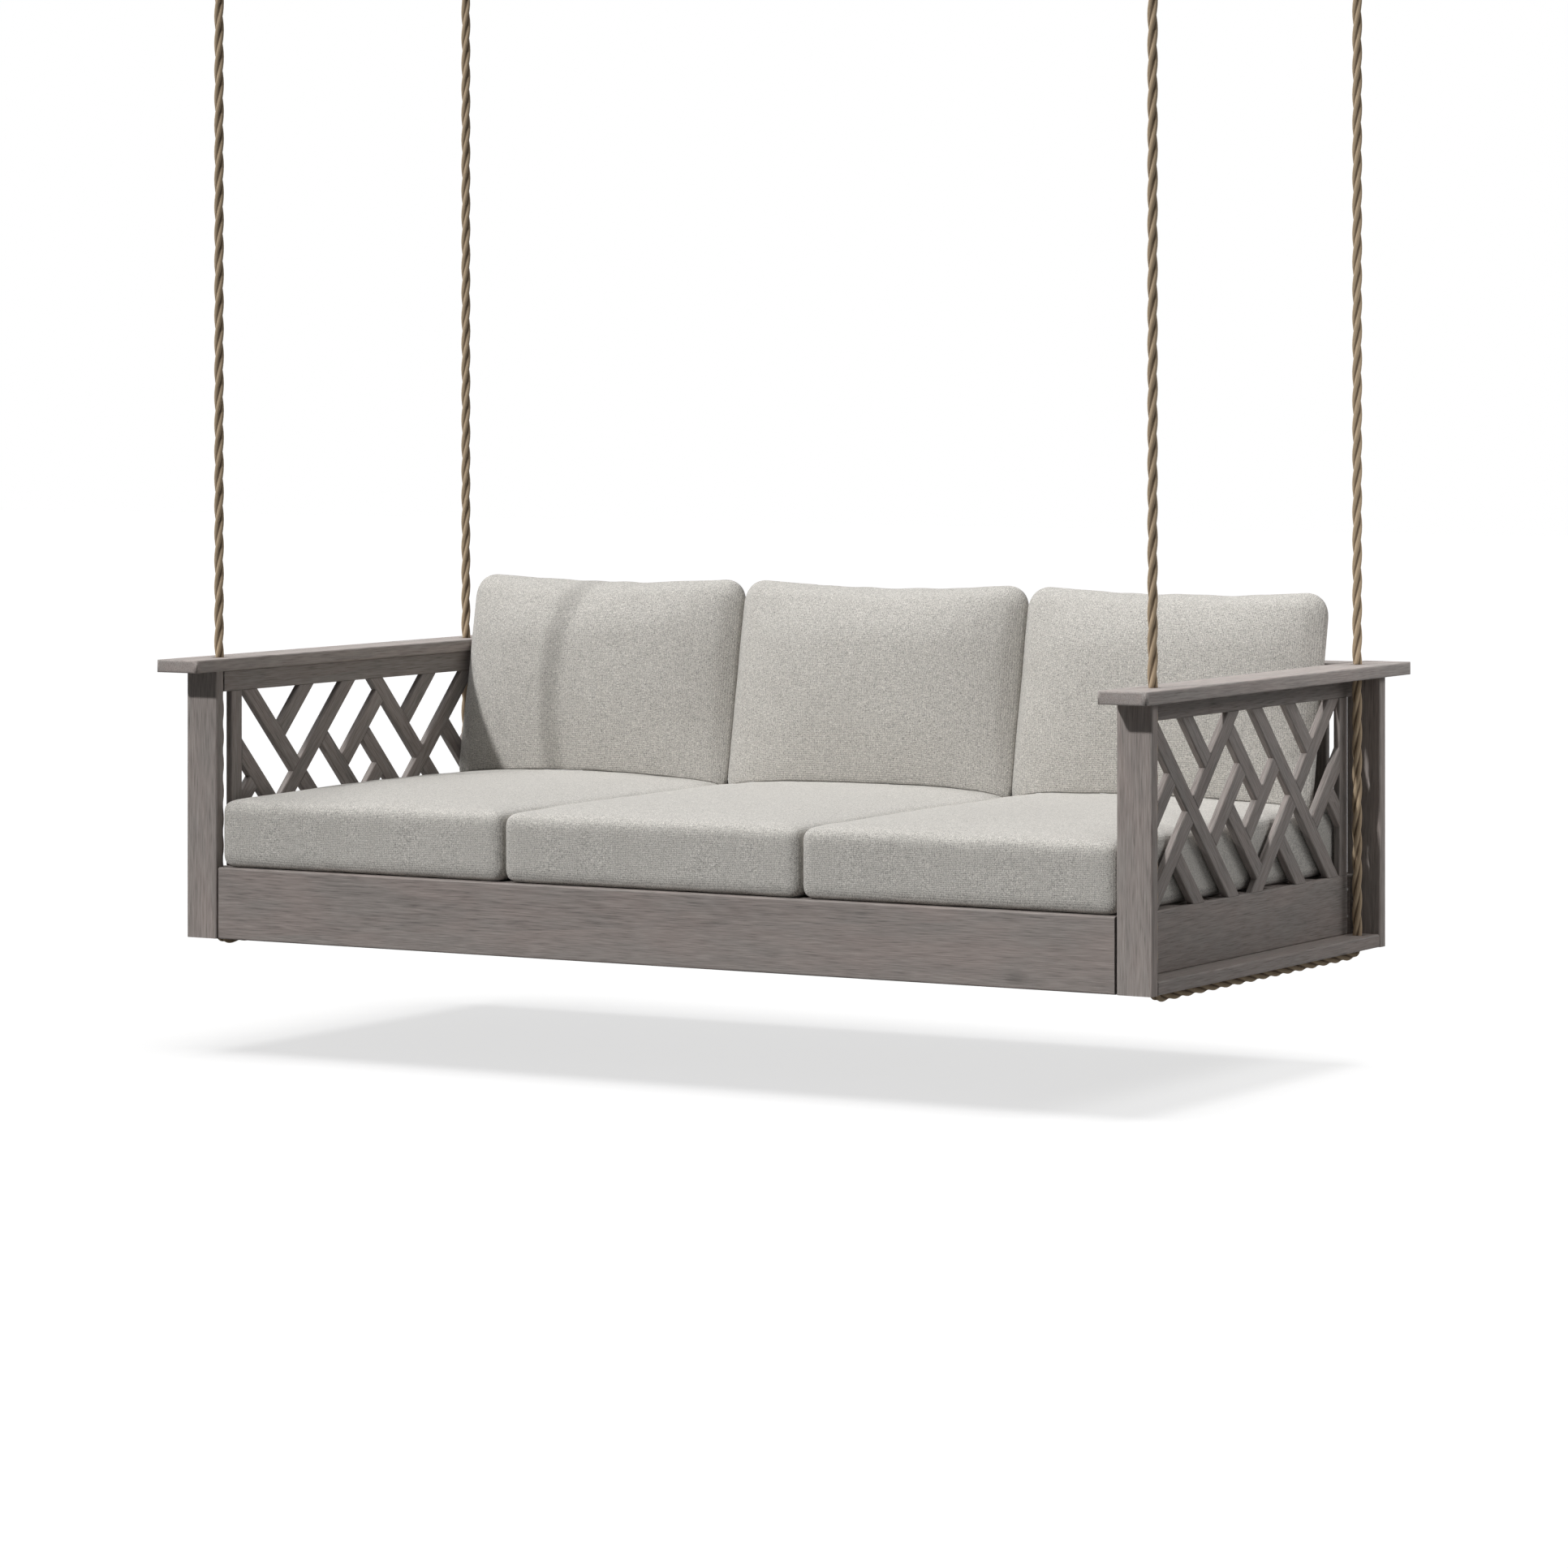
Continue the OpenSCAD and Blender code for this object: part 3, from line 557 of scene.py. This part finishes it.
def rounded_block(size, radius, cell):
    """Points and faces of a block with soft edges, about the origin."""
    counts = [max(2, round(s / cell)) for s in size]
    index, points, faces = {}, [], []

    def point(i, j, k):
        if (i, j, k) not in index:
            index[i, j, k] = len(points)
            p = Vector([s * (n / c - 0.5) for s, n, c in zip(size, (i, j, k), counts)])
            inner = Vector([max(-s / 2 + radius, min(s / 2 - radius, v)) for s, v in zip(size, p)])
            points.append(inner + (p - inner).normalized() * radius if (p - inner).length else p)
        return index[i, j, k]

    for axis in range(3):
        a, b = (axis + 1) % 3, (axis + 2) % 3
        for layer in (0, counts[axis]):
            for m in range(counts[a]):
                for n in range(counts[b]):
                    corner = []
                    for dm, dn in ((0, 0), (1, 0), (1, 1), (0, 1)):
                        at = [0, 0, 0]
                        at[axis], at[a], at[b] = layer, m + dm, n + dn
                        corner.append(point(*at))
                    faces.append(corner if layer else corner[::-1])
    return points, faces


CLOTH_FRAMES = 20
UNEVEN = 0.0015  # height of the bumps that the cloth starts with
UNEVEN_SCALE = 14


def puffed(points, faces, pressure, seed):
    """The points after air has been blown into the closed cloth."""
    obj = new_object("cloth_work", points, faces, cushion_material)
    for v in obj.data.vertices:
        v.co += v.normal * (UNEVEN * noise.noise(v.co * UNEVEN_SCALE + Vector((seed, 0, 0))))
    cloth = obj.modifiers.new("cloth", "CLOTH")
    settings = cloth.settings
    settings.quality = 5
    settings.mass = 0.3
    settings.tension_stiffness = 12
    settings.compression_stiffness = 12
    settings.shear_stiffness = 4
    settings.bending_stiffness = 1.5
    settings.use_pressure = True
    settings.uniform_pressure_force = pressure
    settings.effector_weights.gravity = 0
    cloth.collision_settings.use_collision = False
    cloth.collision_settings.use_self_collision = False
    for f in range(1, CLOTH_FRAMES + 1):
        scene.frame_set(f)
    blown = obj.evaluated_get(bpy.context.evaluated_depsgraph_get())
    result = [v.co.copy() for v in blown.data.vertices]
    bpy.data.objects.remove(obj)
    scene.frame_set(1)
    return result


def limited(value, low, high, soft):
    """value kept between low and high, coming to rest over the distance soft."""
    if value > high - soft:
        value = high - soft + soft * math.tanh((value - high + soft) / soft)
    if value < low + soft:
        value = low + soft - soft * math.tanh((low + soft - value) / soft)
    return value


def soft_block(size, radius, cell, cap, share, pull, pressure, seed):
    """A foam block in a loose cover. share is how much of the blown cloth's bulges it takes over, pull how
    much of what the cloth draws in along each axis, and cap the move that no point quite reaches."""
    points, faces = rounded_block(size, radius, cell)
    blown = puffed(points, faces, pressure, seed)
    result = []
    for p, q in zip(points, blown):
        move = Vector([d * (share if d * v > 0 else part) for d, v, part in zip(q - p, p, pull)])
        result.append(p + move * (cap / (cap + move.length)))
    return result, faces


HOLLOWS = 0.0022
CREASES = 0.0010
FOLDS = 0.0045
FOLD_FADE = 0.075
SIDE_ROOM = 0.0006  # what a cushion may stand out past its width at each side
SIDE_SOFT = 0.0015


def ripple(point, seed):
    """Slow hollows and faint creases of a worn cover, in metres."""
    at = point + Vector((seed * 3.1, seed * 1.7, 0))
    return HOLLOWS * noise.noise(at * 7) + CREASES * noise.noise(at * 19)


def folds(across, below, seed):
    """Soft upright folds that start at a seam and fade with the distance below it, in metres."""
    return FOLDS * noise.noise(Vector((across * 12, seed * 2.3, 0))) * math.exp(-below / FOLD_FADE)


def in_width(x):
    """x kept within a cushion's width and the room that it has at its sides."""
    half = CUSHION_W / 2 + SIDE_ROOM
    return limited(x, -half, half, SIDE_SOFT)


def cushion(name, node, points, faces):
    obj = new_object(name, points, faces, cushion_material)
    divide = obj.modifiers.new("smooth", "SUBSURF")
    divide.levels = 1
    divide.render_levels = 1
    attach(obj, "bed")
    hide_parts(node)
    return obj


PLACES = (("left", -1), ("middle", 0), ("right", 1))
seat_trees = {}

SEAT_DEPTH = SEAT_BACK - SEAT_FRONT + FRONT_BULGE
SEAT_COVER = {
    "radius": 0.022,
    "cell": 0.0115,
    "cap": 0.020,
    "share": 0.22,
    "pull": (0.03, 0.12, 0.22),
    "pressure": 4,
}
SEAT_CROWN = 0.010
END_SWELL = 0.0045  # how far an outer seat cushion swells towards its end panel
SEAT_FRONT_ROOM = 0.001
SEAT_FRONT_SOFT = 0.003
SEAT_TOP_ROOM = 0.003
SEAT_TOP_SOFT = 0.002
for name, place in PLACES:
    size = (CUSHION_W, SEAT_DEPTH, SEAT_EDGE_H)
    points, faces = soft_block(size, **SEAT_COVER, seed=place + 5)
    middle_y = (SEAT_FRONT - FRONT_BULGE + SEAT_BACK) / 2
    centre = Vector((place * CUSHION_STEP, middle_y, SEAT_Z + SEAT_EDGE_H / 2))
    placed = []
    for p in points:
        swell = max(0, 1 - (2 * p.x / size[0]) ** 2) * max(0, 1 - (2 * p.y / size[1]) ** 2)
        rise = (SEAT_CROWN * swell + ripple(p, place + 2)) * max(0, p.z) / (size[2] / 2)
        x = in_width(p.x) + place * END_SWELL * max(0, place * 2 * p.x / size[0]) ** 2
        y = limited(p.y, -SEAT_DEPTH / 2 - SEAT_FRONT_ROOM, SEAT_DEPTH / 2, SEAT_FRONT_SOFT)
        z = limited(p.z + rise, -size[2] / 2, SEAT_H - size[2] / 2 + SEAT_TOP_ROOM, SEAT_TOP_SOFT)
        placed.append(centre + Vector((x, y, z)))
    cushion(f"{name}_seat", f"{name}_seat_cushion", placed, faces)
    seat_trees[name] = BVHTree.FromPolygons(placed, faces)

# the shape of a back cushion: first its distances in front of the plane that it leans on
RIM_REAR = 0.033
TOP_FRONT = 0.084
FOOT_FRONT = 0.064
CROWN_REAR = 0.004
CROWN_FRONT = 0.143
CROWN_AT = 0.38  # height of the crown over the cushion's middle, as a share of half its height
BACK_LOW = -0.325  # its lower and upper end, along that plane from the edge of the cap
BACK_HIGH = 0.1345
BACK_COVER = {
    "radius": 0.048,
    "cell": 0.0105,
    "cap": 0.045,
    "share": 0.3,
    "pull": (0.0, 0.5, 0.27),
    "pressure": 4,
}
BACK_BLOCK_T = 0.102  # thickness of the block that is blown up, before it is bent to those distances
BACK_NARROWED = 0.999
BACK_SHIFTS = {"left": 0.0006, "middle": 0.0, "right": -0.0012}  # sideways
REAR_SOFT = 0.02
SEAT_GAP = 0.0006  # between a back cushion and the seat cushion under it
REST_SOFT = 0.004
PAST_SEAT_Z = SEAT_Z + SEAT_H - 0.02  # how low a back cushion may reach where no seat cushion is under it
RAY_ABOVE = 0.2
for name, place in PLACES:
    size = (CUSHION_W, BACK_BLOCK_T, BACK_HIGH - BACK_LOW)
    points, faces = soft_block(size, **BACK_COVER, seed=place + 11)
    placed = []
    for p in points:
        height = 2 * p.z / size[2]
        reach = 1 - CROWN_AT if height > CROWN_AT else 1 + CROWN_AT
        crown = max(0, 1 - abs(2 * p.x / size[0]) ** 3) * max(0, 1 - ((height - CROWN_AT) / reach) ** 2)
        to_rear = limited(p.y / size[1] + 0.5, 0, 1, REAR_SOFT)
        rim = FOOT_FRONT + (TOP_FRONT - FOOT_FRONT) * (height + 1) / 2
        uneven = ripple(p, place + 8)
        front = rim + (CROWN_FRONT - rim) * crown + uneven + folds(p.x, size[2] / 2 - p.z, place + 3)
        rear = RIM_REAR + (CROWN_REAR - RIM_REAR) * crown
        y = -CAP_EDGE_GAP - front + (front - rear) * to_rear
        z = p.z + (BACK_LOW + BACK_HIGH) / 2
        x = in_width(p.x * BACK_NARROWED)
        x += place * CUSHION_STEP + BACK_SHIFTS[name]
        at = Vector(
            (
                x,
                CAP_EDGE_Y + y * math.cos(BACK_LEAN) + z * math.sin(BACK_LEAN),
                CAP_EDGE_Z - y * math.sin(BACK_LEAN) + z * math.cos(BACK_LEAN),
            )
        )
        hit = seat_trees[name].ray_cast(Vector((at.x, at.y, at.z + RAY_ABOVE)), Vector((0, 0, -1)))[0]
        seat_at = hit.z + SEAT_GAP if hit else PAST_SEAT_Z
        if at.z < seat_at + REST_SOFT:
            at.z = seat_at + REST_SOFT * math.exp((at.z - seat_at - REST_SOFT) / REST_SOFT)
        placed.append(at)
    cushion(f"{name}_back", f"{name}_back_cushion", placed, faces)

# ---------------------------------------------------------------- light and floor


def sun(name, travel, level, spread):
    """A lamp whose light travels in a direction; level is what it adds to a white surface that faces it."""
    data = bpy.data.lights.new(name, "SUN")
    data.energy = level * math.pi
    data.angle = math.radians(spread)
    obj = bpy.data.objects.new(name, data)
    obj.rotation_euler = Vector(travel).to_track_quat("-Z", "Y").to_euler()
    scene.collection.objects.link(obj)
    return obj


SKY_LEVEL = 0.06
FLOOR_GLOW = 0.70  # what the floor gives off where the camera or a reflection sees it
key_light = sun("key_light", (0.53, 1.31, -1), level=0.66, spread=3)
left_light = sun("left_light", (0.75, 0, -1), level=0.40, spread=30)
sun("top_light", (0, 0.04, -1), level=0.40, spread=42)

side_data = bpy.data.lights.new("side_light", "AREA")
side_data.energy = 7
side_data.shape = "RECTANGLE"
side_data.size = 1.2
side_data.size_y = 0.5
side_light = bpy.data.objects.new("side_light", side_data)
side_light.location = (2.15, 0.5, -1.1)
side_light.rotation_euler = Vector((-1.15, -0.45, -0.75)).to_track_quat("-Z", "Y").to_euler()
scene.collection.objects.link(side_light)

world = bpy.data.worlds.new("studio")
world.use_nodes = True
scene.world = world
tree = world.node_tree
paths = add(tree, "ShaderNodeLightPath").outputs
mirrored = maths(tree, "MAXIMUM", paths["Is Glossy Ray"], paths["Is Transmission Ray"])
shown = maths(tree, "MAXIMUM", paths["Is Camera Ray"], mirrored)
background = tree.nodes["Background"]
background.inputs[0].default_value = (1, 1, 1, 1)
tree.links.new(between(tree, shown, 0, 1, SKY_LEVEL, 1), background.inputs[1])

FLOOR_TONE = (0.75, 0.75, 0.75)
FLOOR_BOUNCE = (0.35, 0.35, 0.35)
floor_material, tree, shader = new_material("floor", roughness=0.9, specular=0.0)
grain = cloud(tree, add(tree, "ShaderNodeTexCoord").outputs["Object"], 3, 3)
paths = add(tree, "ShaderNodeLightPath").outputs
shown = maths(tree, "MAXIMUM", paths["Is Camera Ray"], paths["Is Glossy Ray"])
floor_tone = mixed(tree, shown, FLOOR_BOUNCE, FLOOR_TONE)
finish_material(tree, shader, shade(tree, floor_tone, between(tree, grain, 0, 1, 0.99, 1.01)))
shader.inputs["Emission Color"].default_value = (1, 1, 1, 1)
tree.links.new(maths(tree, "MULTIPLY", shown, FLOOR_GLOW), shader.inputs["Emission Strength"])
bm = bmesh.new()
bmesh.ops.create_grid(bm, x_segments=8, y_segments=8, size=30, matrix=Matrix.Translation((0, 0, FLOOR_Z)))
floor_mesh = bpy.data.meshes.new("floor")
bm.to_mesh(floor_mesh)
bm.free()
floor_mesh.materials.append(floor_material)
floor = bpy.data.objects.new("floor", floor_mesh)
scene.collection.objects.link(floor)

# these two lights leave the floor out, so that one soft shadow from above shows under the bed
for light in (key_light, left_light):
    lit = bpy.data.collections.new(f"lit_by_{light.name}")
    lit.objects.link(floor)
    light.light_linking.receiver_collection = lit
    lit.collection_objects[0].light_linking.link_state = "EXCLUDE"
